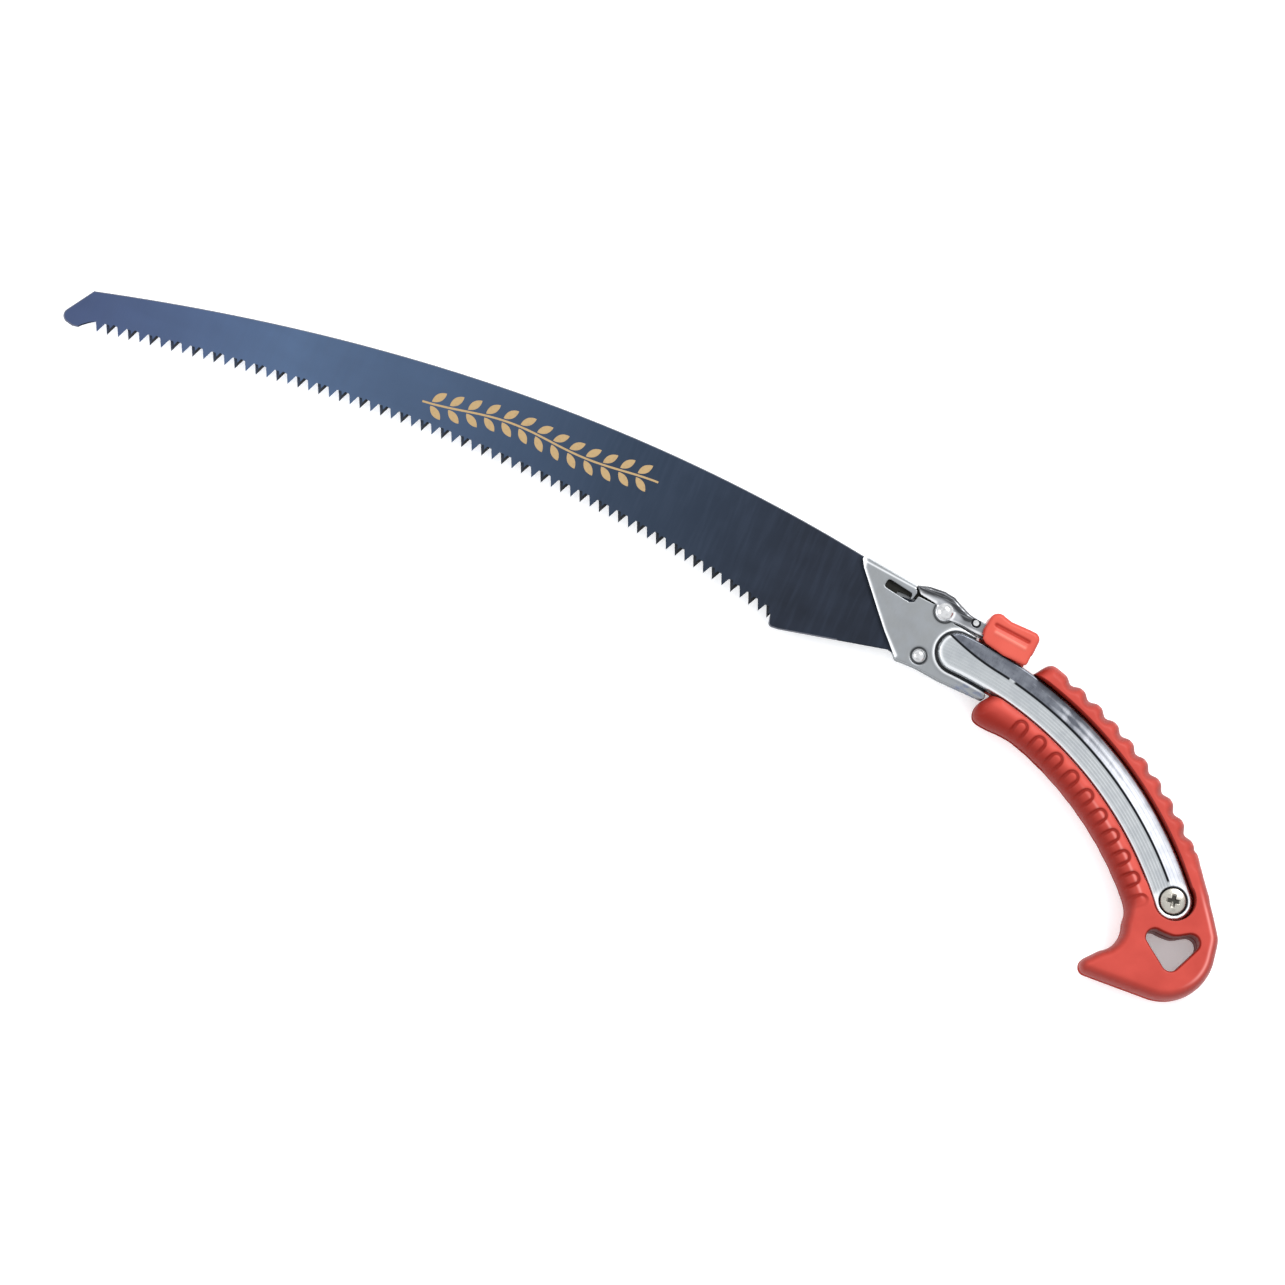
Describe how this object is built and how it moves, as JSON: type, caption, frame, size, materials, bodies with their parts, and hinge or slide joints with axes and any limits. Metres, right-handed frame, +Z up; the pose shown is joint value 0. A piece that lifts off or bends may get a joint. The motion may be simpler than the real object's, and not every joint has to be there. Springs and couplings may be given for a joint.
{
  "type": "folding pruning saw",
  "caption": "Curved folding pruning saw with a lever lock, pressed chrome side plates and a red pistol grip that ends in a hook and a hanging hole.",
  "frame": {"origin": "under the middle of the open saw, on the plane that its right grip face lies on", "axes": "+X from blade tip to handle along the toothed edge, +Y towards the blade's back, +Z up through the thickness, with the saw lying on its right side"},
  "size_m": [0.5802, 0.1394, 0.022],
  "materials": {
    "blade_steel": "smooth slate-blue coating, lighter towards the tip",
    "frame_chrome": "satin nickel-chrome on the cheek, bright on the raised arm",
    "lever_chrome": "bright chrome",
    "grip_plastic": "semi-gloss moulded red plastic",
    "button_plastic": "semi-gloss moulded light red plastic",
    "fastener_steel": "nickel-plated steel",
    "spring_steel": "dark oiled steel",
    "bush_brass": "plain turned brass",
    "washer_nylon": "natural nylon"
  },
  "bodies": {
    "handle": {"frame_left": "frame_chrome", "frame_right": "frame_chrome", "grip_left": "grip_plastic", "grip_right": "grip_plastic", "blade_stop": "spring_steel", "pivot_rivet": "fastener_steel", "pivot_washer_left": "washer_nylon", "pivot_washer_right": "washer_nylon", "lever_sleeve": "fastener_steel", "lever_rivet": "fastener_steel", "handle_screw": "fastener_steel", "screw_sleeve": "fastener_steel", "barrel_nut": "fastener_steel"},
    "blade": {"blade": "blade_steel", "blade_bush": "bush_brass"},
    "lever": {"lock_lever": "lever_chrome", "lock_pawl": "spring_steel", "lever_spring": "spring_steel", "spring_pin": "fastener_steel", "lever_button": "button_plastic", "button_pin": "fastener_steel"}
  },
  "joints": [
    {"name": "blade_fold", "type": "hinge", "parent": "handle", "child": "blade", "pos_m": [0.1166, 0.0313, 0.011], "axis": [0, 0, 1], "range_deg": [0, 150]},
    {"name": "lever_press", "type": "hinge", "parent": "handle", "child": "lever", "pos_m": [0.1196, 0.0538, 0.011], "axis": [0, 0, -1], "range_deg": [0, 7], "stiffness_Nm_per_rad": 1.5, "springref_deg": -6.88}
  ]
}
